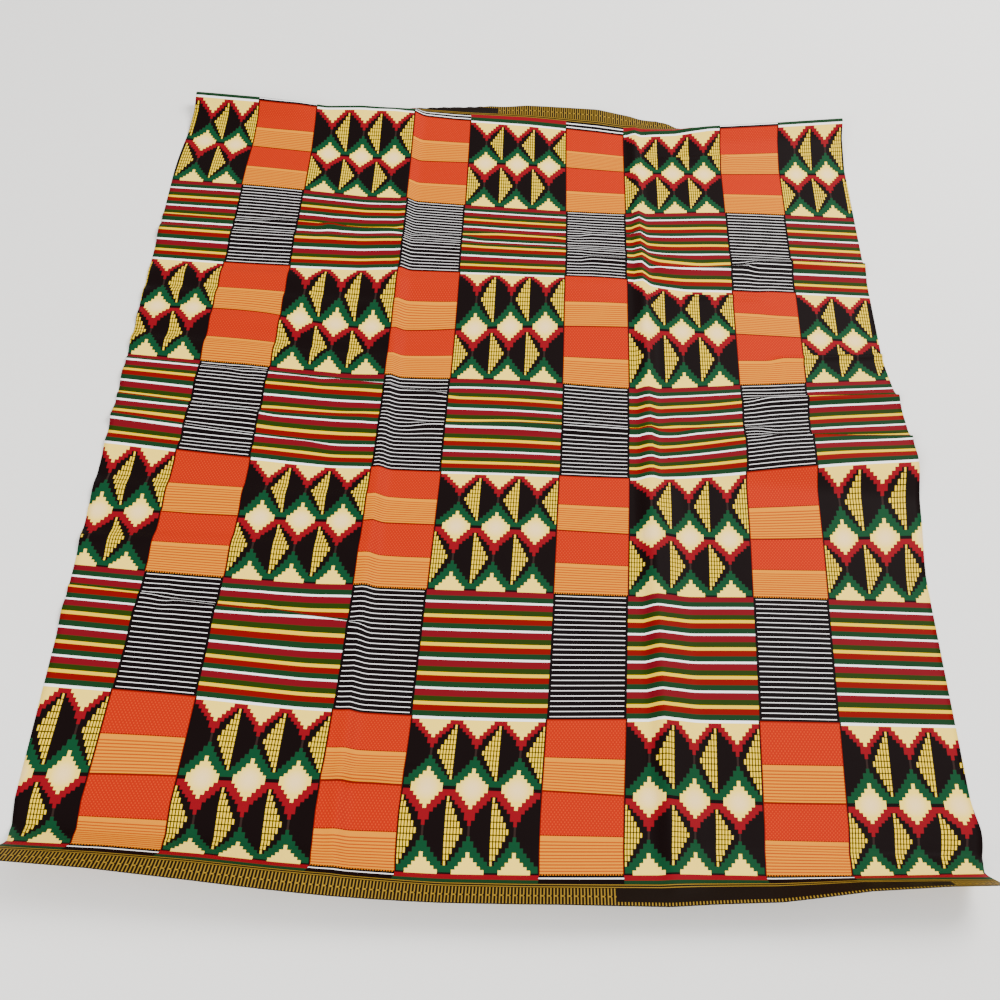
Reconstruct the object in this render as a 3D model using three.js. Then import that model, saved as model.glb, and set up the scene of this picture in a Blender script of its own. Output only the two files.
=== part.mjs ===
// A length of wax print cotton, spread on the floor: one plain piece of cloth, cut across at both ends,
// with a selvedge along its near and far sides. It lies flat, with soft folds along and across it. The
// near selvedge curls up off the floor, and most of the far one is turned under behind a low brow.
//
// Two distances name each point of the cloth. "along" runs beside the selvedges from the left cut end,
// and "across" runs over every fold from the near selvedge to the far one. Millimetres, +Z up.

import * as THREE from 'three';

// Driving dimensions.
const LENGTH = 916;         // one yard, from cut end to cut end
const WIDTH = 1135;         // from selvedge to selvedge, with the folds pulled out
const WALL = 1.5;           // thickness of the cloth's wall
const EDGE_REACH = 116;     // how far in from a selvedge the cloth starts to lift
const EDGE_TAKE_UP = 58;    // the outer part of that reach, whose place over the floor follows the angles
const LANDING = 3;          // height over which a falling selvedge eases onto the floor
const END_SWAY = 15;        // the right cut end bulges out by this much ...
const END_SWAY_ACROSS = 520;
const END_SWAY_REACH = 170; // ... over this far each way across the cloth
const END_SWAY_START = 830; // and only beyond this place along it
const CORNER_DRAWN = 11;    // the far left corner is drawn in along the cloth by this much, ...
const CORNER_ALONG = 200;   // ... less and less over this far from the cut end
const CORNER_ACROSS = [940, 1110];
const MIDDLE_ALONG = (LENGTH + END_SWAY) / 2;  // the centre of the spread cloth is the origin
const MIDDLE_UP = 356;

// Spacing of the mesh.
const ALONG_STEP = 38;
const ALONG_STEP_AT_RIDGE = 11;
const RIDGE_GROWTH = 0.55;  // growth of the spacing with the distance from a ridge
const ACROSS_STEP = 18;
const ACROSS_STEP_AT_EDGE = 5;
const EDGE_STEP_REACH = 60;
const WALK = 0.5;           // step of the walk down an edge's section

// Where eight stations stand along the cloth.
const STATIONS = [0, 130, 305, 465, 600, 655, 735, 920];

// Lines of the print that run along the cloth: how far across it they are, and how far up the floor
// they lie at each station. The folds take up the difference.
const ROW_LINES = [
  { line: 'near edge',     across: 58,    lies: [-127, -131, -136, -135, -131, -129, -126, -122] },
  { line: 'row 4 middle',  across: 116,   lies: [-78, -76, -77, -77, -80, -81, -81, -76] },
  { line: 'row 4 top',     across: 197.5, lies: [12, 6, -5, -6, -1, 0, 2, 5] },
  { line: 'row 3 bottom',  across: 334.5, lies: [144, 137, 132, 133, 134, 136, 139, 141] },
  { line: 'row 3 middle',  across: 416,   lies: [209, 210, 209, 210, 208, 208, 209, 222] },
  { line: 'row 3 top',     across: 497.5, lies: [298, 287, 279, 281, 282, 287, 296, 319] },
  { line: 'row 2 bottom',  across: 634.5, lies: [425, 418, 409, 412, 408, 412, 421, 440] },
  { line: 'row 2 middle',  across: 716,   lies: [496, 495, 478, 494, 501, 500, 499, 498] },
  { line: 'row 2 top',     across: 797.5, lies: [578, 575, 577, 580, 581, 570, 572, 573] },
  { line: 'row 1 bottom',  across: 934.5, lies: [715, 712, 700, 696, 696, 701, 708, 711] },
  { line: 'row 1 middle',  across: 1016,  lies: [794, 784, 775, 779, 775, 776, 780, 795] },
  { line: 'far edge',      across: 1077,  lies: [843, 835, 841, 833, 823, 825, 833, 857] },
];

// Section of each selvedge at places along the cloth, as angles from level in degrees, going outward: a
// long lift, a steeper rise, the brow, and the selvedge itself. The near one curls up. The far one turns
// down and, past -90, back under itself, but for a stretch in the middle that lies open.
const NEAR_CURL = [
  { along: 0,   lift: 1,  rise: 43, brow: 53,   selvedge: 51 },
  { along: 90,  lift: 1,  rise: 48, brow: 49,   selvedge: 44 },
  { along: 180, lift: 2,  rise: 43, brow: 50,   selvedge: 32 },
  { along: 300, lift: 2,  rise: 28, brow: 49,   selvedge: 27 },
  { along: 400, lift: 4,  rise: 16, brow: 38,   selvedge: 35 },
  { along: 510, lift: 6,  rise: 16, brow: 35,   selvedge: 35 },
  { along: 610, lift: 6,  rise: 17, brow: 30,   selvedge: 29 },
  { along: 710, lift: 4,  rise: 17, brow: 44,   selvedge: 38 },
  { along: 790, lift: 3,  rise: 25, brow: 60,   selvedge: 57 },
  { along: 860, lift: 2,  rise: 35, brow: 58,   selvedge: 67 },
  { along: 920, lift: 1,  rise: 43, brow: 51,   selvedge: 72 },
];
const FAR_DROP = [
  { along: 0,   lift: 10, rise: 27, brow: -110, selvedge: -175 },
  { along: 90,  lift: 12, rise: 30, brow: -110, selvedge: -175 },
  { along: 150, lift: 11, rise: 24, brow: -110, selvedge: -175 },
  { along: 190, lift: 8,  rise: 14, brow: -110, selvedge: -175 },
  { along: 240, lift: 9,  rise: 16, brow: -110, selvedge: -175 },
  { along: 285, lift: 8,  rise: 10, brow: -110, selvedge: -175 },
  { along: 310, lift: 5,  rise: 7,  brow: -48,  selvedge: -60 },
  { along: 340, lift: 2,  rise: 4,  brow: -22,  selvedge: -36 },
  { along: 370, lift: 1,  rise: 3,  brow: -8,   selvedge: -37 },
  { along: 470, lift: 3,  rise: 8,  brow: 4,    selvedge: 0 },
  { along: 570, lift: 3,  rise: 9,  brow: 18,   selvedge: 12 },
  { along: 615, lift: 1,  rise: 8,  brow: 10,   selvedge: 0 },
  { along: 650, lift: 3,  rise: 12, brow: -26,  selvedge: -22 },
  { along: 680, lift: 4,  rise: 13, brow: -36,  selvedge: -42 },
  { along: 700, lift: 7,  rise: 18, brow: -50,  selvedge: -62 },
  { along: 726, lift: 10, rise: 24, brow: -110, selvedge: -175 },
  { along: 820, lift: 12, rise: 26, brow: -110, selvedge: -175 },
  { along: 920, lift: 14, rise: 33, brow: -110, selvedge: -175 },
];

// The stretches of such a section, by the distance in from the selvedge's edge.
const NEAR_KNOTS = [
  { inward: 0,   angle: 'selvedge' },
  { inward: 18,  angle: 'selvedge' },
  { inward: 22,  angle: 'brow' },
  { inward: 33,  angle: 'brow' },
  { inward: 38,  angle: 'rise' },
  { inward: 56,  angle: 'rise' },
  { inward: 64,  angle: 'lift' },
  { inward: 104, angle: 'lift' },
  { inward: 116, angle: 'level' },
];
const FAR_KNOTS = [
  { inward: 0,   angle: 'selvedge' },
  { inward: 16,  angle: 'selvedge' },
  { inward: 22,  angle: 'brow' },
  { inward: 24,  angle: 'brow' },
  { inward: 38,  angle: 'rise' },
  { inward: 56,  angle: 'rise' },
  { inward: 64,  angle: 'lift' },
  { inward: 104, angle: 'lift' },
  { inward: 116, angle: 'level' },
];

// Folds: a soft ridge from one point [along, across] to another. It is "far" wide on the left hand of
// that way and "near" wide on the right hand, and fades over "fade" at each end.
const FOLDS = [
  { fold: 'row C',          from: [-60, 842],  to: [710, 846],  height: 4.5, far: 16, near: 28, fade: 60 },
  { fold: 'upper left 1',   from: [-60, 775],  to: [630, 781],  height: 4,   far: 16, near: 26, fade: 120 },
  { fold: 'upper left 2',   from: [-60, 738],  to: [380, 746],  height: 4.5, far: 16, near: 24, fade: 80 },
  { fold: 'upper left 3',   from: [-60, 702],  to: [360, 705],  height: 4,   far: 15, near: 22, fade: 80 },
  { fold: 'upper left 4',   from: [-60, 657],  to: [340, 660],  height: 4.5, far: 16, near: 24, fade: 70 },
  { fold: 'upper left 5',   from: [-60, 600],  to: [330, 606],  height: 4.5, far: 18, near: 26, fade: 70 },
  { fold: 'middle left 1',  from: [-60, 532],  to: [340, 568],  height: 5,   far: 18, near: 28, fade: 70 },
  { fold: 'middle',         from: [400, 572],  to: [630, 576],  height: 3,   far: 16, near: 26, fade: 70 },
  { fold: 'middle left 2',  from: [-60, 497],  to: [240, 506],  height: 3.5, far: 15, near: 20, fade: 80 },
  { fold: 'middle left 3',  from: [-60, 442],  to: [360, 450],  height: 4.5, far: 18, near: 26, fade: 80 },
  { fold: 'middle left 4',  from: [-60, 373],  to: [350, 378],  height: 5,   far: 20, near: 30, fade: 80 },
  { fold: 'lower left',     from: [-60, 276],  to: [320, 288],  height: 4.5, far: 20, near: 32, fade: 80 },
  { fold: 'upper right',    from: [690, 848],  to: [1070, 838], height: 4.5, far: 18, near: 28, fade: 80 },
  { fold: 'right 1',        from: [690, 606],  to: [1070, 596], height: 4.5, far: 18, near: 28, fade: 80 },
  { fold: 'right 2',        from: [670, 552],  to: [1070, 520], height: 5,   far: 16, near: 26, fade: 80 },
  { fold: 'right swell',    from: [630, 536],  to: [1070, 478], height: 11,  far: 34, near: 46, fade: 160 },
  { fold: 'lower middle',   from: [260, 128],  to: [420, 132],  height: 4,   far: 14, near: 20, fade: 50 },
  { fold: 'ridge A, top',   from: [313, 1190], to: [313, 560],  height: 4,   far: 14, near: 60, fade: 70 },
  { fold: 'ridge A, low',   from: [313, 620],  to: [298, -60],  height: 4,   far: 14, near: 60, fade: 70 },
  { fold: 'ridge B, top',   from: [620, 1180], to: [623, 700],  height: 6,   far: 20, near: 16, fade: 80 },
  { fold: 'ridge B, mid',   from: [623, 780],  to: [615, 440],  height: 6,   far: 28, near: 15, fade: 80 },
  { fold: 'ridge B, low',   from: [615, 520],  to: [617, -60],  height: 8,   far: 40, near: 15, fade: 80 },
];
const RIDGES_ALONG = [306, 619];  // where the two ridges that run across the cloth stand

const clamp01 = (value) => Math.min(1, Math.max(0, value));

function smoothStep(from, to, value) {
  const share = clamp01((value - from) / (to - from));
  return share * share * (3 - 2 * share);
}

// 1 at 0 and 0 from 1 on, with no corner between.
function softHump(distance) {
  const share = clamp01(Math.abs(distance));
  return (1 - share * share) ** 2;
}

// A smooth curve through values at given places.
function curveThrough(places, values, place) {
  const last = places.length - 1;
  let i = 0;
  while (i < last - 1 && place > places[i + 1]) i += 1;
  const slopeAt = (k) => {
    const before = Math.max(k - 1, 0);
    const after = Math.min(k + 1, last);
    return (values[after] - values[before]) / (places[after] - places[before]);
  };
  const span = places[i + 1] - places[i];
  const share = (place - places[i]) / span;
  const square = share * share;
  const cube = square * share;
  return values[i] * (2 * cube - 3 * square + 1)
    + slopeAt(i) * span * (cube - 2 * square + share)
    + values[i + 1] * (3 * square - 2 * cube)
    + slopeAt(i + 1) * span * (cube - square);
}

function straightBetween(rows, key, along) {
  let i = 0;
  while (i < rows.length - 2 && along > rows[i + 1].along) i += 1;
  const share = clamp01((along - rows[i].along) / (rows[i + 1].along - rows[i].along));
  return rows[i][key] * (1 - share) + rows[i + 1][key] * share;
}

// The section of a selvedge at one place along the cloth: how far out and how high the cloth has come
// after each step of the walk outward. Where it turns back under itself it lies on its own thickness.
function edgeSection(edge, knots, along) {
  const angles = { level: 0 };
  for (const key of ['lift', 'rise', 'brow', 'selvedge']) angles[key] = straightBetween(edge, key, along);
  const steps = Math.round(EDGE_REACH / WALK);
  const out = [0];
  const up = [0];
  let knot = knots.length - 2;
  for (let i = 1; i <= steps; i += 1) {
    const inward = EDGE_REACH - i * WALK;
    while (knot > 0 && inward < knots[knot].inward) knot -= 1;
    const inner = knots[knot + 1];
    const outer = knots[knot];
    const share = smoothStep(outer.inward, inner.inward, inward);
    const degrees = angles[outer.angle] * (1 - share) + angles[inner.angle] * share;
    const angle = THREE.MathUtils.degToRad(degrees);
    const restsAt = WALL * smoothStep(0, 0.3, -Math.cos(angle));
    let slope = Math.sin(angle);
    if (slope < 0) slope *= clamp01((up[i - 1] - restsAt) / LANDING);
    const level = Math.sign(Math.cos(angle)) * Math.sqrt(1 - slope * slope);
    up.push(up[i - 1] + slope * WALK);
    out.push(out[i - 1] + (inward <= EDGE_TAKE_UP ? level * WALK : 0));
  }
  return { out, up };
}

function readSection(values, inward) {
  const place = (EDGE_REACH - inward) / WALK;
  const i = Math.min(Math.floor(place), values.length - 2);
  return values[i] + (values[i + 1] - values[i]) * (place - i);
}

function foldHeight(along, across) {
  let height = 0;
  for (const fold of FOLDS) {
    const wayAlong = fold.to[0] - fold.from[0];
    const wayAcross = fold.to[1] - fold.from[1];
    const length = Math.hypot(wayAlong, wayAcross);
    const fromAlong = along - fold.from[0];
    const fromAcross = across - fold.from[1];
    const down = (fromAlong * wayAlong + fromAcross * wayAcross) / length;
    const aside = (fromAcross * wayAlong - fromAlong * wayAcross) / length;
    const width = aside > 0 ? fold.far : fold.near;
    const ends = smoothStep(0, fold.fade, down) * smoothStep(0, fold.fade, length - down);
    height += fold.height * ends * softHump(aside / width);
  }
  return height;
}

// The underside of the cloth along one line across it.
function columnOf(along, acrossStations) {
  const lies = ROW_LINES.map((row) => curveThrough(STATIONS, row.lies, along));
  const lines = ROW_LINES.map((row) => row.across);
  const nearSection = edgeSection(NEAR_CURL, NEAR_KNOTS, along);
  const farSection = edgeSection(FAR_DROP, FAR_KNOTS, along);
  const sway = END_SWAY * smoothStep(END_SWAY_START, LENGTH, along);
  const drawn = CORNER_DRAWN * (1 - smoothStep(0, CORNER_ALONG, along));
  return acrossStations.map((across) => {
    const clear = Math.min(WIDTH - EDGE_TAKE_UP, Math.max(EDGE_TAKE_UP, across));
    let y = curveThrough(lines, lies, clear);
    let z = foldHeight(along, across);
    const fromFar = WIDTH - across;
    if (across < EDGE_REACH) {
      y -= readSection(nearSection.out, across);
      z = z * smoothStep(0, EDGE_TAKE_UP, across) + readSection(nearSection.up, across);
    } else if (fromFar < EDGE_REACH) {
      y += readSection(farSection.out, fromFar);
      z = z * smoothStep(0, EDGE_TAKE_UP, fromFar) + readSection(farSection.up, fromFar);
    }
    const x = along + sway * softHump((across - END_SWAY_ACROSS) / END_SWAY_REACH)
      + drawn * smoothStep(CORNER_ACROSS[0], CORNER_ACROSS[1], across);
    return new THREE.Vector3(x - MIDDLE_ALONG, y - MIDDLE_UP, z);
  });
}

// Places along the cloth, closer together at the two ridges.
function alongStations() {
  const places = [0];
  let place = 0;
  while (place < LENGTH) {
    const toRidge = Math.min(...RIDGES_ALONG.map((ridge) => Math.abs(ridge - place)));
    place += Math.min(ALONG_STEP, Math.max(ALONG_STEP_AT_RIDGE, toRidge * RIDGE_GROWTH));
    places.push(place);
  }
  const stretch = LENGTH / place;
  return places.map((value) => value * stretch);
}

// Places across the cloth, closer together at the selvedges.
function acrossStations() {
  const edgeSteps = Math.round(EDGE_STEP_REACH / ACROSS_STEP_AT_EDGE);
  const middle = WIDTH - 2 * EDGE_STEP_REACH;
  const middleSteps = Math.round(middle / ACROSS_STEP);
  const places = [];
  for (let i = 0; i < edgeSteps; i += 1) places.push(i * ACROSS_STEP_AT_EDGE);
  for (let i = 0; i < middleSteps; i += 1) places.push(EDGE_STEP_REACH + (middle * i) / middleSteps);
  for (let i = edgeSteps; i >= 0; i -= 1) places.push(WIDTH - i * ACROSS_STEP_AT_EDGE);
  return places;
}

// A wall of even thickness over a grid of points, closed round its rim.
function wallOver(columns, thickness) {
  const nAlong = columns.length;
  const nAcross = columns[0].length;
  const under = columns.flat();
  const at = (i, j) => i * nAcross + j;
  const sheet = new THREE.BufferGeometry();
  sheet.setAttribute('position', new THREE.Float32BufferAttribute(under.flatMap((p) => p.toArray()), 3));
  const faces = [];
  for (let i = 0; i < nAlong - 1; i += 1) {
    for (let j = 0; j < nAcross - 1; j += 1) {
      faces.push(at(i, j), at(i + 1, j), at(i + 1, j + 1));
      faces.push(at(i, j), at(i + 1, j + 1), at(i, j + 1));
    }
  }
  sheet.setIndex(faces);
  sheet.computeVertexNormals();
  const normals = sheet.getAttribute('normal');
  const over = under.map((p, k) => {
    const point = new THREE.Vector3().fromBufferAttribute(normals, k).multiplyScalar(thickness).add(p);
    point.z = Math.max(0, point.z);
    return point;
  });

  const count = under.length;
  const index = [];
  for (let k = 0; k < faces.length; k += 3) {
    index.push(faces[k] + count, faces[k + 1] + count, faces[k + 2] + count);
    index.push(faces[k], faces[k + 2], faces[k + 1]);
  }
  const rim = [];
  for (let i = 0; i < nAlong - 1; i += 1) rim.push(at(i, 0));
  for (let j = 0; j < nAcross - 1; j += 1) rim.push(at(nAlong - 1, j));
  for (let i = nAlong - 1; i > 0; i -= 1) rim.push(at(i, nAcross - 1));
  for (let j = nAcross - 1; j > 0; j -= 1) rim.push(at(0, j));
  rim.forEach((a, k) => {
    const b = rim[(k + 1) % rim.length];
    index.push(a, b, b + count, a, b + count, a + count);
  });

  const wall = new THREE.BufferGeometry();
  const points = under.concat(over);
  wall.setAttribute('position', new THREE.Float32BufferAttribute(points.flatMap((p) => p.toArray()), 3));
  wall.setIndex(index);
  wall.computeVertexNormals();
  return wall;
}

function makeCloth() {
  const across = acrossStations();
  const columns = alongStations().map((along) => columnOf(along, across));
  const printedCotton = new THREE.MeshStandardMaterial({ color: 0xb4602c, roughness: 0.72, metalness: 0 });
  const cloth = new THREE.Mesh(wallOver(columns, WALL), printedCotton);
  cloth.name = 'cloth';
  return cloth;
}

const group = new THREE.Group();
group.add(makeCloth());

export default group;
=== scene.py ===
# A length of wax print cotton spread on a pale floor. The cloth is one fine shell on the form of the solid,
# with the smaller creases added, and its print is worked out by the shader from the place on the cloth.
# "along" runs beside the selvedges from the left cut end and "across" from the near selvedge to the far one.
# The cloth's own sizes are in millimetres.

import math

import bpy
import numpy as np
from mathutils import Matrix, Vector


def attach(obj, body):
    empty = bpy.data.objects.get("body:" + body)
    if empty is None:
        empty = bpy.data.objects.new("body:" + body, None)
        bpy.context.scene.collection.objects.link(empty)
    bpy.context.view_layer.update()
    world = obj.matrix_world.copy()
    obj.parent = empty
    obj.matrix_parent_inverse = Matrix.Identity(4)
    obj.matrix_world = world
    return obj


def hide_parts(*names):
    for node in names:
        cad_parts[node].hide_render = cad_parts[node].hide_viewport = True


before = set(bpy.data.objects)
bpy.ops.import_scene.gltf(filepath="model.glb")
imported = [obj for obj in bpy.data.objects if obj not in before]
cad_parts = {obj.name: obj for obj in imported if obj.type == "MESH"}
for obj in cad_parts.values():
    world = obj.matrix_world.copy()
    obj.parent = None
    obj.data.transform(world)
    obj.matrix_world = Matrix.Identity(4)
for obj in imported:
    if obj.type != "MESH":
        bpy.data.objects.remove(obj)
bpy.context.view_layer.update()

MM = 0.001

# ---------------------------------------------------------------- sizes of the cloth

LENGTH = 916            # one yard, from cut end to cut end
WIDTH = 1135            # from selvedge to selvedge, with the folds pulled out
THICKNESS = 0.5
EDGE_REACH = 116        # how far in from a selvedge the cloth starts to lift
EDGE_TAKE_UP = 58       # the outer part of that reach, whose place over the floor follows the angles
LANDING = 3             # height over which a falling selvedge eases onto the floor
END_SWAY = 15           # the right cut end bulges out by this much ...
END_SWAY_ACROSS = 520
END_SWAY_REACH = 170    # ... over this far each way across the cloth
END_SWAY_START = 830    # and only beyond this place along it
CORNER_DRAWN = 11       # the far left corner is drawn in along the cloth by this much, ...
CORNER_ALONG = 200      # ... less and less over this far from the cut end
CORNER_ACROSS = (940, 1110)
# How far along the cloth its rising near edge is drawn in at each place along, and the share of it across.
NEAR_DRAWN = [(0, 9.5), (70, 9), (150, 7.5), (300, 5), (390, 4), (540, 0.5), (630, -1.2), (765, -3.5),
              (850, -5.2), (916, -8.5)]
NEAR_DRAWN_SHARE = [(0, 0.45), (20, 0.3), (30, 0.9), (36, 1), (50, 0.6), (65, 0.3), (90, 0)]
NEAR_BULGE = 5          # the right cut end bulges out over the near curl by this much too, ...
NEAR_BULGE_ALONG = 850  # ... beyond this place along it,
NEAR_BULGE_ACROSS = 80
NEAR_BULGE_REACH = 45
MIDDLE_ALONG = (LENGTH + END_SWAY) / 2
MIDDLE_UP = 356.0

# Spacing of the shell's grid.
ALONG_STEP = 7.4
RIDGE_STEP = 4.8
RIDGE_REACH = 45
ACROSS_STEP = 3.5
EDGE_STEP = 2.8
EDGE_STEP_REACH = 62
WALK = 0.5

# Eight stations along the cloth, and how far up the floor lines of the print lie at each.
STATIONS = (0, 130, 305, 465, 600, 655, 735, 920)
ROW_LINES = [
    ("near edge",    58,     (-127, -131, -136, -135, -131, -129, -128, -126)),
    ("row 4 middle", 116,    (-78, -76, -77, -77, -80, -81, -81, -76)),
    ("row 4 top",    197.5,  (12, 6, -5, -6, -1, 0, 2, 5)),
    ("row 3 bottom", 334.5,  (144, 137, 132, 133, 134, 136, 139, 141)),
    ("row 3 middle", 416,    (209, 210, 209, 210, 208, 208, 209, 222)),
    ("row 3 top",    497.5,  (298, 287, 279, 281, 282, 287, 296, 319)),
    ("row 2 bottom", 634.5,  (425, 418, 409, 412, 408, 412, 421, 440)),
    ("row 2 middle", 716,    (496, 495, 478, 494, 501, 500, 499, 498)),
    ("row 2 top",    797.5,  (578, 575, 577, 580, 581, 570, 572, 573)),
    ("row 1 bottom", 934.5,  (715, 712, 700, 696, 696, 701, 708, 711)),
    ("row 1 middle", 1016,   (794, 784, 775, 779, 775, 776, 780, 795)),
    ("far edge",     1077,   (843, 835, 841, 833, 823, 825, 833, 857)),
]

# Section of each selvedge: place along, then the angles from level, in degrees going outward, of the lift,
# the rise, the brow and the selvedge. Past -90 the cloth turns back under itself.
NEAR_CURL = [
    (0,   1, 43, 53, 51),
    (90,  1, 48, 49, 44),
    (180, 2, 43, 50, 32),
    (300, 2, 28, 49, 27),
    (400, 4, 16, 38, 35),
    (510, 6, 16, 35, 35),
    (610, 6, 17, 30, 29),
    (710, 4, 17, 44, 38),
    (790, 3, 25, 60, 57),
    (860, 2, 35, 58, 67),
    (920, 1, 43, 51, 72),
]
FAR_DROP = [
    (0,   10, 27, -110, -175),
    (90,  12, 30, -110, -175),
    (150, 11, 24, -110, -175),
    (190, 8,  14, -110, -175),
    (240, 9,  16, -110, -175),
    (285, 8,  10, -110, -175),
    (310, 5,   7,  -34,  -48),
    (330, 2,   4,  -26,  -38),
    (370, 1,   3,  -10,  -37),
    (470, 3,   8,    4,    0),
    (570, 3,   9,   18,   12),
    (615, 1,   8,   10,    0),
    (650, 3,  12,  -26,  -22),
    (680, 4,  13,  -36,  -42),
    (700, 7,  18,  -50,  -62),
    (726, 10, 24, -110, -175),
    (820, 12, 26, -110, -175),
    (920, 14, 33, -110, -175),
]
# Distance in from the edge, and which of those angles holds there (0 is level).
NEAR_KNOTS = [(0, 4), (18, 4), (22, 3), (33, 3), (38, 2), (56, 2), (64, 1), (104, 1), (116, 0)]
FAR_KNOTS = [(0, 4), (16, 4), (22, 3), (24, 3), (38, 2), (56, 2), (64, 1), (104, 1), (116, 0)]

# Place along the far edge, and how far in from it the last of the cloth is folded under (below 0 it isn't).
FAR_TURNED = [(285, 16), (296, 20), (320, 15.5), (358, 9), (400, 3), (425, -3), (640, -3), (668, 2),
              (683, 10), (700, 17), (711, 19), (726, 16)]
NOT_TURNED = [(0, -3)]
TURNED_ANGLE = -175
TURN_REACH = 3          # each way from where it is folded

# Folds: name, from (along, across), to (along, across), height, width on the left hand of that way, width on
# the other, and the length over which each end fades.
FOLDS = [
    ("row C",         -60, 842,  710, 846,  4.5, 16, 28, 60),
    ("upper left 1",  -60, 775,  630, 781,  4.0, 16, 26, 120),
    ("upper left 2",  -60, 738,  380, 746,  4.5, 16, 24, 80),
    ("upper left 3",  -60, 702,  360, 705,  4.0, 15, 22, 80),
    ("upper left 4",  -60, 657,  340, 660,  4.5, 16, 24, 70),
    ("upper left 5",  -60, 600,  330, 606,  4.5, 18, 26, 70),
    ("middle left 1", -60, 532,  340, 568,  5.0, 18, 28, 70),
    ("middle",        400, 572,  630, 576,  3.0, 16, 26, 70),
    ("middle left 2", -60, 497,  240, 506,  3.5, 15, 20, 80),
    ("middle left 3", -60, 442,  360, 450,  4.5, 18, 26, 80),
    ("middle left 4", -60, 373,  350, 378,  5.0, 20, 30, 80),
    ("lower left",    -60, 276,  320, 288,  4.5, 20, 32, 80),
    ("upper right",   690, 848, 1070, 838,  4.5, 18, 28, 80),
    ("right 1",       690, 606, 1070, 596,  4.5, 18, 28, 80),
    ("right 2",       670, 552, 1070, 520,  5.0, 16, 26, 80),
    ("right swell",   630, 536, 1070, 478, 11.0, 34, 46, 160),
    ("lower middle",  260, 128,  420, 132,  4.0, 14, 20, 50),
    ("ridge A, top",  313, 1190, 313, 560,  4.0, 14, 60, 70),
    ("ridge A, low",  313, 620,  298, -60,  4.0, 14, 60, 70),
    ("ridge B, top",  620, 1180, 623, 700,  3.6, 13, 13, 80),
    ("ridge B, mid",  623, 780,  615, 440,  4.4, 17, 13, 80),
    ("ridge B, low",  615, 520,  617, -60,  8.0, 40, 15, 80),
]
# Fine creases, sharp along the top: name, from (along, across), to (along, across), height, the width of
# cloth drawn together behind it, and the length over which each end fades.
CREASES = [
    ("row 1, right",      640, 1046,  760, 1048, 3.5, 6.0, 25),
    ("row 2, right",      655, 780,   790, 782,  3.5, 7.5, 25),
    ("row C, left",       -40, 868,   150, 866,  2.5, 3.0, 30),
    ("row C, black",      120, 872,   240, 868,  2.5, 4.0, 30),
    ("row C, middle",     200, 868,   318, 864,  3.5, 6.0, 20),
    ("row C, ridge",      310, 858,   420, 868,  2.5, 3.5, 30),
    ("row C, centre",     400, 876,   540, 872,  2.0, 2.5, 40),
    ("row C, right 1",    540, 884,   632, 886,  2.5, 4.5, 20),
    ("row C, right 2",    540, 830,   632, 832,  2.5, 4.5, 20),
    ("row C, right 3",    628, 826,   775, 833,  3.0, 7.5, 20),
    ("row C, far right",  745, 840,   950, 848,  2.5, 3.5, 30),
    ("row 2, left",       -40, 720,   200, 716,  2.0, 2.0, 50),
    ("row 2, gold",       175, 690,   290, 684,  2.5, 2.5, 30),
    ("row B, left 1",     -40, 624,   150, 620,  3.0, 4.0, 30),
    ("row B, black",      130, 624,   240, 618,  2.5, 3.5, 25),
    ("row B, diagonal",   215, 622,   400, 606,  3.5, 4.5, 40),
    ("row B, left 2",     -40, 566,   190, 562,  3.0, 5.5, 40),
    ("row B, left 3",     -40, 532,   260, 524,  3.0, 4.5, 40),
    ("row B, centre",     330, 562,   650, 568,  3.5, 7.0, 40),
    ("row B, right 1",    740, 606,   950, 598,  3.0, 5.0, 30),
    ("row B, right 2",    650, 566,   775, 560,  2.5, 4.0, 30),
    ("row B, right 3",    745, 545,   950, 528,  3.5, 5.0, 30),
    ("row 2, far right",  770, 674,   950, 684,  3.5, 6.5, 25),
    ("row A, left",       -40, 304,   110, 302,  3.0, 4.0, 30),
    ("row A, black",      95, 300,    210, 292,  2.5, 4.0, 20),
    ("row A, middle",     190, 298,   318, 284,  3.5, 6.0, 25),
    ("row 3, left",       -40, 420,   120, 414,  2.0, 2.0, 40),
    ("row 4, ridge",      262, 120,   360, 128,  2.5, 2.0, 30),
    ("ridge A, top",      313, 1190,  313, 560,  2.0, 0.0, 70),
    ("ridge A, low",      313, 620,   298, -60,  3.0, 0.0, 70),
    ("ridge B, top",      621, 1180,  623, 620,  3.0, 0.0, 60),
    ("ridge B, low",      622, 680,   616, 40,   2.0, 0.0, 90),
]
CREASE_NEAR = 13        # width of a crease on its near or left side
CREASE_FAR = 9
CREASE_FULLNESS = 0.7   # how far its sides bulge between the crest and the foot
CREASE_DRAWS = 46       # how far each way a crease draws the cloth in
RIDGES_ALONG = (306, 619)

# ---------------------------------------------------------------- sizes of the print

COLUMN_REPEAT = 216.1   # one orange column and one motif column
ORANGE_WIDE = 80.9
MOTIF_WIDE = 43.9       # three motifs to a column ...
MOTIF_START = 1.8       # ... and a margin at its side
ROW_REPEAT = 300        # one row of blocks and one row of stripes
BLOCK_HIGH = 163
NEAR_BORDER = 34.5      # where the first row of blocks starts, across the cloth
FAR_BORDER = 1097.5
PRINT_LEAN = 0.0576     # the print leans this much along the cloth going up it, and less further up
PRINT_LEAN_EASE = 3.18e-5
LEAN_LEVEL = 197.5      # where the lean is counted from
LEAN_SHRINK = 0.964
FIRST_COLUMN = 67.5     # where the first orange column starts on that level, along the cloth

# Where the columns' sides were printed, against where an even repeat has them.
EVEN_COLUMNS = (-135.2, 0.0, 80.9, 216.1, 297.0, 432.2, 513.1, 648.3, 729.2, 864.4)
PRINTED_COLUMNS = (-134.4, 0.0, 83.4, 220.1, 298.2, 432.7, 512.7, 647.7, 729.7, 864.7)

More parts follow.
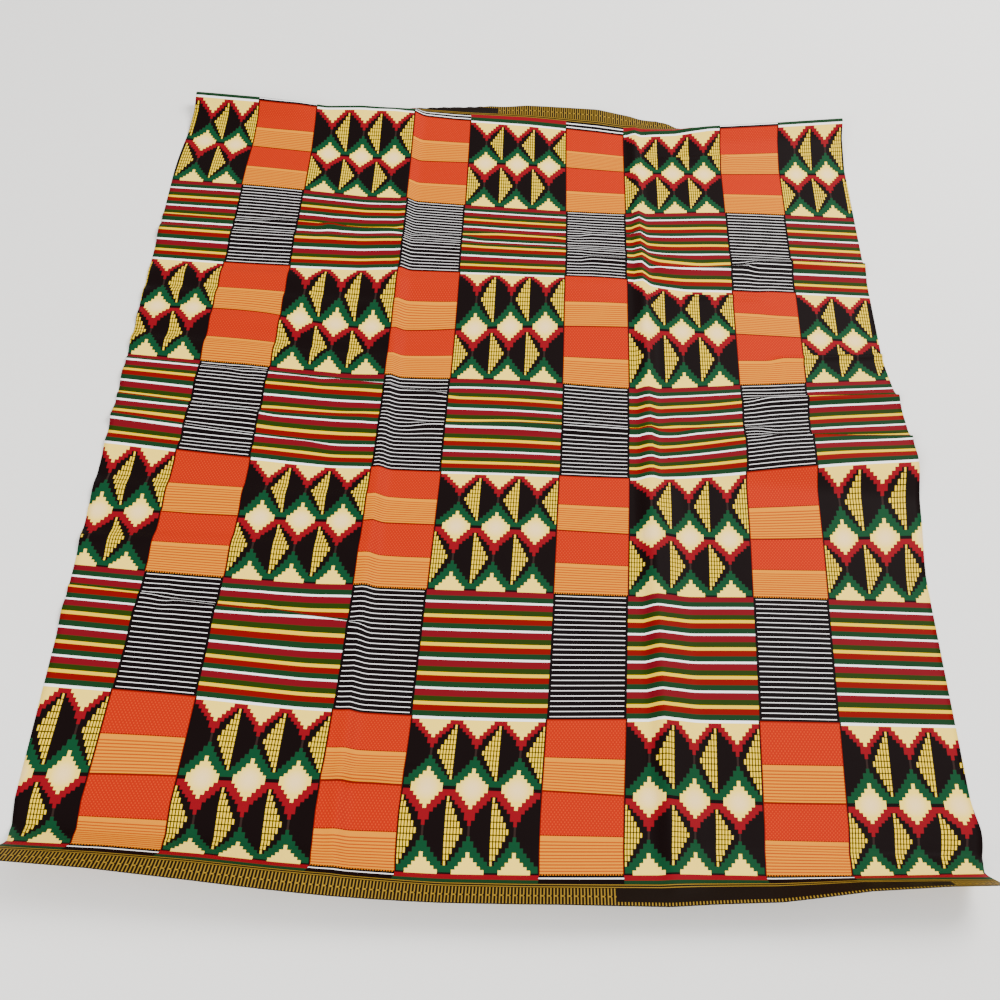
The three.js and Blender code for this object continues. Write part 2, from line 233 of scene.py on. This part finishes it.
# One motif's steps, by column out from its middle, as shares of a half block down from its top: where the
# upper cream ends, where the red ends, where the green starts and where the lower cream starts.
MOTIF_COLUMNS_HALF = 6.5
MOTIF_STEPS = [
    (0.29, 0.44, 0.555, 0.73),
    (0.24, 0.38, 0.61, 0.80),
    (0.19, 0.29, 0.68, 0.85),
    (0.14, 0.24, 0.735, 0.90),
    (0.09, 0.20, 0.79, 0.94),
    (0.04, 0.15, 0.84, 1.01),
    (0.04, 0.10, 0.89, 1.01),
]
BRICK_WIDE = 0.067      # of a motif
BRICK_HIGH = 0.073      # of a half block
BRICK_ROWS = 11
BRICK_HALF_WIDE = 0.31  # half of the pale width of a brick, as a share of its place
BRICK_HALF_HIGH = 0.42  # half of the inked height of a row of bricks, as a share of the row
BRICKS_START = 0.5      # the upper bricks start this many motifs into the column, ...
BRICKS_END = 2.7        # ... and the lower ones end here
STEM_OUT = 0.3          # half the width of the stem between two diamonds, in motif columns, ...
STEM_DOWN = (0.43, 0.57)    # ... and where it is, down a half block
RED_STARTS = 0.02       # down the lower half block
GREEN_ENDS = 0.975      # down either half block
CREAM_SHORTER = 0.04    # by how much the upper cream ends sooner in the lower half block
PALE_OUT = 4.5          # the cream is paler in an oval this many motif columns out from the middle ...
PALE_DOWN = 0.2         # ... and this many half blocks up and down, ...
PALE_FADE = 1.6         # ... and fades this fast outwards
PALE_SOFT = 0.1
TOP_WHITE = 0.035       # height of the white line along the top of a motif block, in half blocks
MOTIF_SIDE = 1.2        # width of the black line down each side of a motif column
ORANGE_SIDE = 0.8       # width of the dark line down each side of an orange column
ORANGE_TOP = 0.015      # height of the dark line along the top of an orange block, in half blocks
ORANGE_MIDDLE = (0.975, 1.0)    # where the dark line between its half blocks is
DASHES_DOWN = (0.515, 0.53)     # where a dashed line is, down a half block, over each gold band
DASH_APART = 2.3
DASH_STARTS = 0.4       # as a share of that
GOLD_STARTS = 0.53      # down a half block
GOLD_LINES_START = 0.58
GOLD_LINE_APART = 3.15
GOLD_LINE_HALF = 0.2    # half the width of a gold line, as a share of that
TEETH_START = 1.982     # black teeth along the bottom of an orange block, in half blocks down it
TEETH_APART = 2.6
CRIMSON_UNDER = 1.0     # under a block come crimson down to here, in units, ...
GREEN_UNDER = 1.95      # ... and deep green down to here, before the stripes
STRIPE_UNIT = 6.3
STRIPE_REPEAT = 4.95    # in units
STRIPES = [             # start, in units, and ink
    (0.0, "white"), (0.36, "crimson"), (1.5, "olive"), (2.4, "yellow"), (3.0, "brick"), (4.0, "deep green"),
]
WHITE_LINES = 25        # across one black block
WHITE_LINE_HALF = 0.066 # half the width of a white line, as a share of their spacing, ...
WHITE_LINE_SOFT = 0.06  # ... and how soft its edge is
BLACK_SIDE = 2.6        # width of the black left at each end of the white lines
NEAR_WHITE = 3.6        # middle of the white line out from NEAR_BORDER, on the orange columns
NEAR_GREEN = 6.0        # where red gives way to green on the others
FAR_WHITES = (3.4, 9.4) # the same, out from FAR_BORDER
FAR_RED = 7.0
BORDER_LINE_HALF = 0.8
SELVEDGE_WIDE = 20.0    # of the bars, in from the edge
SELVEDGE_DARK = 24.4    # of the dark ground
SELVEDGE_LINES = (23.4, 20.6)   # middles of the two thin gold lines
SELVEDGE_LINE_HALF = 0.45
NEAR_BARE = (505, 812)  # where the near selvedge is bare, along the print ...
FAR_BARE = (200, 336)   # ... and the far one
BAR_APART = 3.1
BAR_HALF = 0.18         # half the width of a bar, as a share of that, ...
BAR_SOFT = 0.14         # ... and how soft its edge is
BARS_ACROSS = (0.6, 19.4)
RANKS_MEET = 10.0       # in from the edge
CUT_HALF = 0.9          # half the height of the cuts between the two ranks ...
LINK_HALF = 0.8         # ... and of the links across them
TICK_HIGH = 4.2
THREAD_APART = 0.7      # of the plain weave
DOT_APART = 3.4         # dots of the orange bands, along the cloth ...
DOT_ROWS = 2.4          # ... and from row to row, each row half a dot over from the next
DOT_LEVEL = 0.45        # a dot is where the dots' wave, from -1 to 1, is above this


def linear(red, green, blue):
    """A colour as the eye sees it, from 0 to 255, as the shader counts it."""
    shares = [value / 255 for value in (red, green, blue)]
    return tuple(s / 12.92 if s <= 0.04045 else ((s + 0.055) / 1.055) ** 2.4 for s in shares) + (1.0,)


INKS = {
    "orange": linear(165, 28, 0),
    "orange dot": linear(192, 52, 4),
    "orange edge": linear(112, 10, 2),
    "gold": linear(211, 128, 0),
    "gold line": linear(170, 68, 0),
    "cream": linear(250, 214, 84),
    "cream middle": linear(250, 214, 146),
    "red": linear(121, 6, 20),
    "crimson": linear(104, 8, 20),
    "brick": linear(112, 5, 4),
    "green": linear(8, 60, 33),
    "deep green": linear(14, 48, 22),
    "olive": linear(30, 48, 4),
    "black": linear(8, 1, 2),
    "brown": linear(12, 3, 3),
    "stem": linear(40, 26, 23),
    "yellow": linear(224, 182, 0),
    "brick pale": linear(232, 194, 34),
    "brick gap": linear(58, 44, 2),
    "white": linear(252, 249, 248),
    "selvedge": linear(18, 9, 4),
    "selvedge gold": linear(140, 110, 32),
}


# ---------------------------------------------------------------- form

def smooth_step(start, end, value):
    share = np.clip((value - start) / (end - start), 0, 1)
    return share * share * (3 - 2 * share)


def soft_hump(distance):
    share = np.clip(np.abs(distance), 0, 1)
    return (1 - share * share) ** 2


def curve_through(places, values, place):
    """A smooth curve through values, whose last axis follows places, read at each place."""
    places = np.asarray(places, float)
    values = np.asarray(values, float)
    last = len(places) - 1
    before = np.maximum(np.arange(last + 1) - 1, 0)
    after = np.minimum(np.arange(last + 1) + 1, last)
    slopes = (values[..., after] - values[..., before]) / (places[after] - places[before])
    i = np.clip(np.searchsorted(places, place) - 1, 0, last - 1)
    span = places[i + 1] - places[i]
    share = (place - places[i]) / span
    square = share * share
    cube = square * share
    return (
        values[..., i] * (2 * cube - 3 * square + 1)
        + slopes[..., i] * span * (cube - 2 * square + share)
        + values[..., i + 1] * (3 * square - 2 * cube)
        + slopes[..., i + 1] * span * (cube - square)
    )


def edge_section(table, knots, turned, along):
    """How far out and how high the cloth has come after each step outward over EDGE_REACH."""
    places = [row[0] for row in table]
    angle_of = [0.0] + [np.interp(along, places, [row[k] for row in table]) for k in (1, 2, 3, 4)]
    folded_at = np.interp(along, *zip(*turned))
    steps = round(EDGE_REACH / WALK)
    out = np.zeros(steps + 1)
    up = np.zeros(steps + 1)
    for i in range(1, steps + 1):
        inward = EDGE_REACH - i * WALK
        knot = max(k for k in range(len(knots) - 1) if k == 0 or knots[k][0] <= inward)
        outer, inner = knots[knot], knots[knot + 1]
        share = smooth_step(outer[0], inner[0], inward)
        angle = angle_of[outer[1]] * (1 - share) + angle_of[inner[1]] * share
        angle += (TURNED_ANGLE - angle) * smooth_step(folded_at + TURN_REACH, folded_at - TURN_REACH, inward)
        angle = math.radians(angle)
        slope = math.sin(angle)
        if slope < 0:
            rests_at = THICKNESS * smooth_step(0, 0.3, -math.cos(angle))
            slope *= min(1.0, max(0.0, (up[i - 1] - rests_at) / LANDING))
        level = math.copysign(math.sqrt(1 - slope * slope), math.cos(angle))
        up[i] = up[i - 1] + slope * WALK
        out[i] = out[i - 1] + (level * WALK if inward <= EDGE_TAKE_UP else 0)
    return out, up


def beside_line(along, across, from_along, from_across, to_along, to_across, fade):
    """How far each place lies to the left of a straight line, and the share of a fold that its ends leave."""
    way = np.array([to_along - from_along, to_across - from_across], float)
    length = np.hypot(*way)
    way /= length
    down = (along - from_along) * way[0] + (across - from_across) * way[1]
    aside = (across - from_across) * way[0] - (along - from_along) * way[1]
    return aside, smooth_step(0, fade, down) * smooth_step(0, fade, length - down)


def fold_heights(along, across):
    height = np.zeros(np.broadcast(along, across).shape)
    for _, *line, high, left_wide, right_wide, fade in FOLDS:
        aside, ends = beside_line(along, across, *line, fade)
        height += high * ends * soft_hump(aside / np.where(aside > 0, left_wide, right_wide))
    return height


def crease_shape(along, across):
    """How much the fine creases lift the cloth, and how far they draw it over the floor, across."""
    lift = np.zeros(np.broadcast(along, across).shape)
    draw = np.zeros_like(lift)
    for _, *line, high, taken, fade in CREASES:
        aside, ends = beside_line(along, across, *line, fade)
        share = np.clip(np.abs(aside) / np.where(aside > 0, CREASE_FAR, CREASE_NEAR), 0, 1)
        lift += high * ends * (1 - share) ** 2 * (1 + CREASE_FULLNESS * share)
        together = smooth_step(-1, CREASE_FAR + 1, aside)
        draw += taken * ends * (smooth_step(-CREASE_DRAWS, CREASE_DRAWS, aside) - together)
    return lift, draw


def underside(along, across):
    """Points of the cloth's underside over a grid of places, in metres, in the frame."""
    lies = np.stack([curve_through(STATIONS, row[2], along) for row in ROW_LINES], axis=1)
    lines = [row[1] for row in ROW_LINES]
    clear = np.clip(across, EDGE_TAKE_UP, WIDTH - EDGE_TAKE_UP)
    y = np.stack([curve_through(lines, column, clear) for column in lies])
    lift, draw = crease_shape(along[:, None], across[None, :])
    z = fold_heights(along[:, None], across[None, :]) + lift
    y += draw
    near = across < EDGE_REACH
    far = WIDTH - across < EDGE_REACH
    z[:, near] *= smooth_step(0, EDGE_TAKE_UP, across[near])
    z[:, far] *= smooth_step(0, EDGE_TAKE_UP, WIDTH - across[far])
    walked = np.linspace(0, EDGE_REACH, round(EDGE_REACH / WALK) + 1)
    for i, place in enumerate(along):
        out, up = edge_section(NEAR_CURL, NEAR_KNOTS, NOT_TURNED, place)
        y[i, near] -= np.interp(EDGE_REACH - across[near], walked, out)
        z[i, near] += np.interp(EDGE_REACH - across[near], walked, up)
        out, up = edge_section(FAR_DROP, FAR_KNOTS, FAR_TURNED, place)
        y[i, far] += np.interp(EDGE_REACH - (WIDTH - across[far]), walked, out)
        z[i, far] += np.interp(EDGE_REACH - (WIDTH - across[far]), walked, up)
    sway = END_SWAY * smooth_step(END_SWAY_START, LENGTH, along)
    x = along[:, None] + sway[:, None] * soft_hump((across[None, :] - END_SWAY_ACROSS) / END_SWAY_REACH)
    drawn = CORNER_DRAWN * (1 - smooth_step(0, CORNER_ALONG, along))
    x += drawn[:, None] * smooth_step(*CORNER_ACROSS, across)[None, :]
    x += np.interp(along, *zip(*NEAR_DRAWN))[:, None] * np.interp(across, *zip(*NEAR_DRAWN_SHARE))[None, :]
    bulge = NEAR_BULGE * smooth_step(NEAR_BULGE_ALONG, LENGTH, along)
    x += bulge[:, None] * soft_hump((across[None, :] - NEAR_BULGE_ACROSS) / NEAR_BULGE_REACH)
    return np.stack([x - MIDDLE_ALONG, y - MIDDLE_UP, z], axis=-1) * MM


def spaced(total, step, fine_step, is_fine):
    """Places from 0 to total, fine_step apart where is_fine says so and step apart elsewhere."""
    places = [0.0]
    while places[-1] < total:
        places.append(places[-1] + (fine_step if is_fine(places[-1]) else step))
    return np.array(places) * (total / places[-1])


def print_place(along, across):
    """Where a place on the cloth is in the print: along an even repeat of columns, and across."""
    level = (across - LEAN_LEVEL) * LEAN_SHRINK
    lean = PRINT_LEAN * level - PRINT_LEAN_EASE * level * level
    printed = along[:, None] - FIRST_COLUMN - lean[None, :]
    even = np.interp(printed, PRINTED_COLUMNS, EVEN_COLUMNS)
    return np.stack([even, np.broadcast_to(across[None, :], even.shape)], axis=-1)


def shell_mesh(under, places, thickness):
    """A closed shell over a grid of points, whose uv map holds each point's place in the print, in metres."""
    n_along, n_across = under.shape[:2]
    d_along = np.gradient(under, axis=0)
    d_across = np.gradient(under, axis=1)
    normal = np.cross(d_along, d_across)
    normal /= np.linalg.norm(normal, axis=-1, keepdims=True)
    over = under + normal * thickness * MM
    points = np.concatenate([under.reshape(-1, 3), over.reshape(-1, 3)])
    count = n_along * n_across
    at = np.arange(count).reshape(n_along, n_across)
    quads = np.stack([at[:-1, :-1], at[1:, :-1], at[1:, 1:], at[:-1, 1:]], axis=-1).reshape(-1, 4)
    rim = np.concatenate([at[:-1, 0], at[-1, :-1], at[:0:-1, -1], at[0, :0:-1]])
    onward = np.roll(rim, -1)
    sides = np.stack([rim, onward, onward + count, rim + count], axis=-1)
    faces = np.concatenate([quads + count, quads[:, ::-1], sides])
    mesh = bpy.data.meshes.new("cloth_shell")
    mesh.from_pydata(points.tolist(), [], faces.tolist())
    mesh.update()
    corner = np.array([loop.vertex_index for loop in mesh.loops]) % count
    uv = mesh.uv_layers.new(name="print_place")
    uv.data.foreach_set("uv", (places.reshape(-1, 2)[corner] * MM).ravel())
    mesh.polygons.foreach_set("use_smooth", [True] * (2 * len(quads)) + [False] * len(sides))
    return mesh


# ---------------------------------------------------------------- maths in the shader

class Number:
    """A number that the shader works out for each point of the cloth."""

    def __init__(self, socket):
        self.socket = socket

    def __add__(self, other):
        return maths("ADD", self, other)

    def __sub__(self, other):
        return maths("SUBTRACT", self, other)

    def __rsub__(self, other):
        return maths("SUBTRACT", other, self)

    def __mul__(self, other):
        return maths("MULTIPLY", self, other)

    def __truediv__(self, other):
        return maths("DIVIDE", self, other)

    def __gt__(self, other):
        return maths("GREATER_THAN", self, other)

    def __lt__(self, other):
        return maths("LESS_THAN", self, other)


def maths(operation, *inputs):
    node = nodes.new("ShaderNodeMath")
    node.operation = operation
    for socket, value in zip(node.inputs, inputs):
        if isinstance(value, Number):
            links.new(value.socket, socket)
        else:
            socket.default_value = value
    return Number(node.outputs[0])


def repeat(number, length):
    return maths("FLOORED_MODULO", number, length)


def fraction(number):
    return maths("FRACT", number)


def whole(number):
    return maths("FLOOR", number)


def size(number):
    return maths("ABSOLUTE", number)


def both(*masks):
    result = masks[0]
    for mask in masks[1:]:
        result = result * mask
    return result


def either(one, other):
    return maths("MAXIMUM", one, other)


def between(number, low, high):
    return both(number > low, number < high)


def soft_below(number, limit, edge):
    """1 where a number is below a limit and 0 where it is above, with a soft edge between."""
    share = (number - limit) * (-1 / edge) + 0.5
    return maths("MAXIMUM", maths("MINIMUM", share, 1.0), 0.0)


# Places of a Mix node's sockets for colours.
MIX_FACTOR = 0
MIX_UNDER = 6
MIX_INK = 7
MIX_RESULT = 2


def paint(under, ink, mask):
    """The colour under, with ink over it where mask is 1."""
    mix = nodes.new("ShaderNodeMix")
    mix.data_type = "RGBA"
    mix.clamp_factor = True
    links.new(mask.socket, mix.inputs[MIX_FACTOR])
    for socket, value in ((mix.inputs[MIX_UNDER], under), (mix.inputs[MIX_INK], ink)):
        if isinstance(value, str):
            socket.default_value = INKS[value]
        else:
            links.new(value, socket)
    return mix.outputs[MIX_RESULT]


def steps_ramp(number, stops):
    """A ramp on which each row of values holds from its stop on, as a colour and a fourth number."""
    ramp = nodes.new("ShaderNodeValToRGB")
    ramp.color_ramp.interpolation = "CONSTANT"
    elements = ramp.color_ramp.elements
    while len(elements) < len(stops):
        elements.new(1.0)
    for element, (place, values) in zip(elements, stops):
        element.position = place
        element.color = values
    links.new(number.socket, ramp.inputs[0])
    return ramp


# ---------------------------------------------------------------- the print

def motif_block(beside, down):
    """Zigzags and stepped diamonds. beside is in millimetres from the side, and down in half blocks."""
    motif = (beside - MOTIF_START) / MOTIF_WIDE
    half = whole(down)
    h = fraction(down)
    out = size(fraction(motif) - 0.5) * (2 * MOTIF_COLUMNS_HALF)
    stops = [(0.0, MOTIF_STEPS[0])]
    stops += [((k - 0.5) / MOTIF_COLUMNS_HALF, MOTIF_STEPS[k]) for k in range(1, len(MOTIF_STEPS))]
    ramp = steps_ramp(out / MOTIF_COLUMNS_HALF, stops)
    split = nodes.new("ShaderNodeSeparateColor")
    links.new(ramp.outputs[0], split.inputs[0])
    cream_ends, red_ends, green_starts = (Number(split.outputs[k]) for k in range(3))
    cream_starts = Number(ramp.outputs[1])

    # Bricks fill the left halves of the dark diamonds above and the right halves below.
    lower = half > 0.5
    side = lower * 2 - 1
    edge = fraction(side * motif + BRICK_WIDE / 2)
    brick = edge / BRICK_WIDE
    row = (h - 0.5) / BRICK_HIGH + BRICK_ROWS / 2
    in_row = (BRICK_ROWS + 1) / 2 - size(whole(row) - (BRICK_ROWS - 1) / 2)
    in_column = both(either(lower, motif > BRICKS_START), either(1 - lower, motif < BRICKS_END))
    gap = both(whole(brick) < in_row, in_column, size(fraction(row) - 0.5) < BRICK_HALF_HIGH)
    pale = both(gap, size(fraction(brick) - 0.5) < BRICK_HALF_WIDE)

    colour = paint("brown", "stem", both(out < STEM_OUT, between(h, *STEM_DOWN)))
    colour = paint(colour, "brick gap", gap)
    colour = paint(colour, "brick pale", pale)
    colour = paint(colour, "green", between(h, green_starts, GREEN_ENDS))
    colour = paint(colour, "red", both(h < red_ends, either(h > RED_STARTS, 1 - lower)))
    cream = either(h > cream_starts, h < cream_ends - half * CREAM_SHORTER)
    middle_out = maths("POWER", out / PALE_OUT, 2.0) + maths("POWER", size(down - 1.0) / PALE_DOWN, 2.0)
    paler = maths("SMOOTH_MIN", 1.0 - middle_out * PALE_FADE, 1.0, PALE_SOFT)
    cream_ink = paint("cream", "cream middle", paler)
    colour = paint(colour, cream_ink, cream)
    colour = paint(colour, "white", down < TOP_WHITE)
    half_wide = (COLUMN_REPEAT - ORANGE_WIDE) / 2
    return paint(colour, "black", size(beside - half_wide) > half_wide - MOTIF_SIDE)


def orange_block(beside, down, across):
    """Two bands of orange dots, each over a band of fine gold lines."""
    o = fraction(down)
    one = maths("COSINE", beside * (2 * math.pi / DOT_APART))
    other = maths("COSINE", across * (math.pi / DOT_ROWS))
    colour = paint("orange", "orange dot", one * other > DOT_LEVEL)
    lines = fraction(o * (BLOCK_HIGH / 2 / GOLD_LINE_APART))
    gold = paint("gold", "gold line", both(size(lines - 0.5) < GOLD_LINE_HALF, o > GOLD_LINES_START))
    colour = paint(colour, gold, o > GOLD_STARTS)
    colour = paint(colour, "orange edge", either(between(down, *ORANGE_MIDDLE), down < ORANGE_TOP))
    dashes = both(between(o, *DASHES_DOWN), fraction(beside / DASH_APART) > DASH_STARTS)
    colour = paint(colour, "orange edge", dashes)
    side = size(beside - ORANGE_WIDE / 2) > ORANGE_WIDE / 2 - ORANGE_SIDE
    colour = paint(colour, "orange edge", side)
    teeth = both(down > TEETH_START, fraction(beside / TEETH_APART) > 0.5)
    return paint(colour, "black", teeth)


def stripes(down):
    """Crimson and deep green, then four repeats of six stripes. down is in units."""
    place = repeat(down - GREEN_UNDER, STRIPE_REPEAT) / STRIPE_REPEAT
    colour = steps_ramp(place, [(start / STRIPE_REPEAT, INKS[ink]) for start, ink in STRIPES]).outputs[0]
    colour = paint(colour, "deep green", down < GREEN_UNDER)
    return paint(colour, "crimson", down < CRIMSON_UNDER)


def black_block(beside, down, high):
    """Fine white lines on black, which stop just short of its sides."""
    line = soft_below(size(fraction(down * (WHITE_LINES / high)) - 0.5), WHITE_LINE_HALF, WHITE_LINE_SOFT)
    inside = size(beside - ORANGE_WIDE / 2) < ORANGE_WIDE / 2 - BLACK_SIDE
    return paint("black", "white", both(line, inside))


def selvedge(from_edge, along, bare):
    """Fine gold bars in two ranks or, where bare is 1, a dark band with ticks at its outer edge."""
    bar = soft_below(size(fraction(along / BAR_APART) - 0.5), BAR_HALF, BAR_SOFT)
    rank = both(bar, between(from_edge, *BARS_ACROSS))
    pair = along / (2 * BAR_APART)
    cut = both(size(from_edge - RANKS_MEET) < CUT_HALF, fraction(pair) > 0.5)
    link = both(size(from_edge - RANKS_MEET) < LINK_HALF, fraction(pair + 0.25) > 0.5)
    ladder = either(both(rank, 1 - cut), link)
    ticks = both(rank, from_edge < TICK_HIGH)
    gold = maths("MULTIPLY_ADD", bare, ticks - ladder, ladder)
    return paint("selvedge", "selvedge gold", gold)


def cloth_colour(place):
    along = Number(place.outputs[0]) / MM
    across = Number(place.outputs[1]) / MM
    beside = repeat(along, COLUMN_REPEAT)
    in_orange = beside < ORANGE_WIDE
    beside_motif = beside - ORANGE_WIDE
    up_row = repeat(across - NEAR_BORDER, ROW_REPEAT)
    in_block = up_row < BLOCK_HIGH
    down_block = (BLOCK_HIGH - up_row) / (BLOCK_HIGH / 2)
    down_stripes = ROW_REPEAT - up_row
    stripes_high = ROW_REPEAT - BLOCK_HIGH

    row = paint(stripes(down_stripes / STRIPE_UNIT), motif_block(beside_motif, down_block), in_block)
    orange = paint(
        black_block(beside, down_stripes, stripes_high), orange_block(beside, down_block, across), in_block
    )
    colour = paint(row, orange, in_orange)

    near_down = NEAR_BORDER - across
    plain = paint("red", "deep green", near_down > NEAR_GREEN)
    lined = paint("black", "white", size(near_down - NEAR_WHITE) < BORDER_LINE_HALF)
    near_band = paint(plain, lined, in_orange)
    colour = paint(colour, near_band, near_down > 0.0)

    far_up = across - FAR_BORDER
    plain = paint("deep green", "red", far_up > FAR_RED)
    white_lines = either(*(size(far_up - middle) < BORDER_LINE_HALF for middle in FAR_WHITES))
    lined = paint("black", "white", white_lines)
    far_band = paint(plain, lined, in_orange)
    colour = paint(colour, far_band, far_up > 0.0)

    from_edge = maths("MINIMUM", across, WIDTH - across)
    gold_lines = either(*(size(from_edge - middle) < SELVEDGE_LINE_HALF for middle in SELVEDGE_LINES))
    dark = paint("selvedge", "selvedge gold", gold_lines)
    colour = paint(colour, dark, from_edge < SELVEDGE_DARK)
    near = across < WIDTH / 2
    bare = either(both(near, between(along, *NEAR_BARE)), both(1 - near, between(along, *FAR_BARE)))
    return paint(colour, selvedge(from_edge, along, bare), from_edge < SELVEDGE_WIDE)


def printed_cotton():
    """Crisp wax print cotton: matt ink with a slight gloss, over a fine plain weave."""
    global nodes, links
    material = bpy.data.materials.new("printed_cotton")
    material.use_nodes = True
    nodes = material.node_tree.nodes
    links = material.node_tree.links
    surface = nodes["Principled BSDF"]
    uv = nodes.new("ShaderNodeUVMap")
    uv.uv_map = "print_place"
    place = nodes.new("ShaderNodeSeparateXYZ")
    links.new(uv.outputs[0], place.inputs[0])
    links.new(cloth_colour(place), surface.inputs["Base Color"])
    surface.inputs["Roughness"].default_value = 0.62
    surface.inputs["Specular IOR Level"].default_value = 0.05

    crumple = nodes.new("ShaderNodeTexNoise")
    crumple.inputs["Scale"].default_value = 26.0
    crumple.inputs["Detail"].default_value = 3.0
    links.new(uv.outputs[0], crumple.inputs["Vector"])
    bump = nodes.new("ShaderNodeBump")
    bump.inputs["Strength"].default_value = 0.35
    bump.inputs["Distance"].default_value = 0.0012
    links.new(crumple.outputs[0], bump.inputs["Height"])

    warp = maths("COSINE", Number(place.outputs[1]) * (2 * math.pi / (THREAD_APART * MM)))
    weft = maths("COSINE", Number(place.outputs[0]) * (2 * math.pi / (THREAD_APART * MM)))
    weave = nodes.new("ShaderNodeBump")
    weave.inputs["Strength"].default_value = 0.2
    weave.inputs["Distance"].default_value = 0.00003
    links.new((warp * weft).socket, weave.inputs["Height"])
    links.new(bump.outputs[0], weave.inputs["Normal"])
    links.new(weave.outputs[0], surface.inputs["Normal"])
    return material


# ---------------------------------------------------------------- scene

def make_cloth():
    def near_ridge(place):
        return min(abs(place - ridge) for ridge in RIDGES_ALONG) < RIDGE_REACH

    def near_edge(place):
        return min(place, WIDTH - place) < EDGE_STEP_REACH

    along = spaced(LENGTH, ALONG_STEP, RIDGE_STEP, near_ridge)
    across = spaced(WIDTH, ACROSS_STEP, EDGE_STEP, near_edge)
    mesh = shell_mesh(underside(along, across), print_place(along, across), THICKNESS)
    cloth = bpy.data.objects.new("cloth_shell", mesh)
    bpy.context.collection.objects.link(cloth)
    cloth.data.materials.append(printed_cotton())
    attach(cloth, "root")
    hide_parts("cloth")
    return cloth


FLOOR_SIDE = 12
FLOOR_LEVEL = -0.0004   # level with the lower face of the strip that is turned under


def make_floor():
    bpy.ops.mesh.primitive_plane_add(size=FLOOR_SIDE, location=(0, 0, FLOOR_LEVEL))
    floor = bpy.context.object
    floor.name = "floor"
    material = bpy.data.materials.new("pale_floor")
    material.use_nodes = True
    surface = material.node_tree.nodes["Principled BSDF"]
    surface.inputs["Base Color"].default_value = linear(238, 236, 232)
    surface.inputs["Roughness"].default_value = 0.85
    floor.data.materials.append(material)


def make_light(name, place, aim, side, watts):
    data = bpy.data.lights.new(name, "AREA")
    data.size = side
    data.energy = watts
    lamp = bpy.data.objects.new(name, data)
    lamp.location = place
    lamp.rotation_euler = (Vector(aim) - Vector(place)).to_track_quat("-Z", "Y").to_euler()
    bpy.context.collection.objects.link(lamp)


def make_studio():
    world = bpy.data.worlds.new("studio")
    world.use_nodes = True
    world.node_tree.nodes["Background"].inputs["Color"].default_value = (1, 1, 1, 1)
    world.node_tree.nodes["Background"].inputs["Strength"].default_value = 1.0
    bpy.context.scene.world = world
    make_light("window", (1.7, 1.3, 2.3), (0, 0, 0), 1.5, 135)
    make_light("fill", (-1.6, -1.9, 1.9), (0, 0, 0), 1.5, 75)


def make_camera():
    data = bpy.data.cameras.new("camera")
    data.sensor_width = 36
    data.lens = 37.8
    camera = bpy.data.objects.new("camera", data)
    camera.location = (-0.0529, -0.7004, 1.0133)
    camera.rotation_euler = [math.radians(angle) for angle in (30.144, -2.761, 1.351)]
    bpy.context.collection.objects.link(camera)
    bpy.context.scene.camera = camera


cloth = make_cloth()
make_floor()
make_studio()
make_camera()
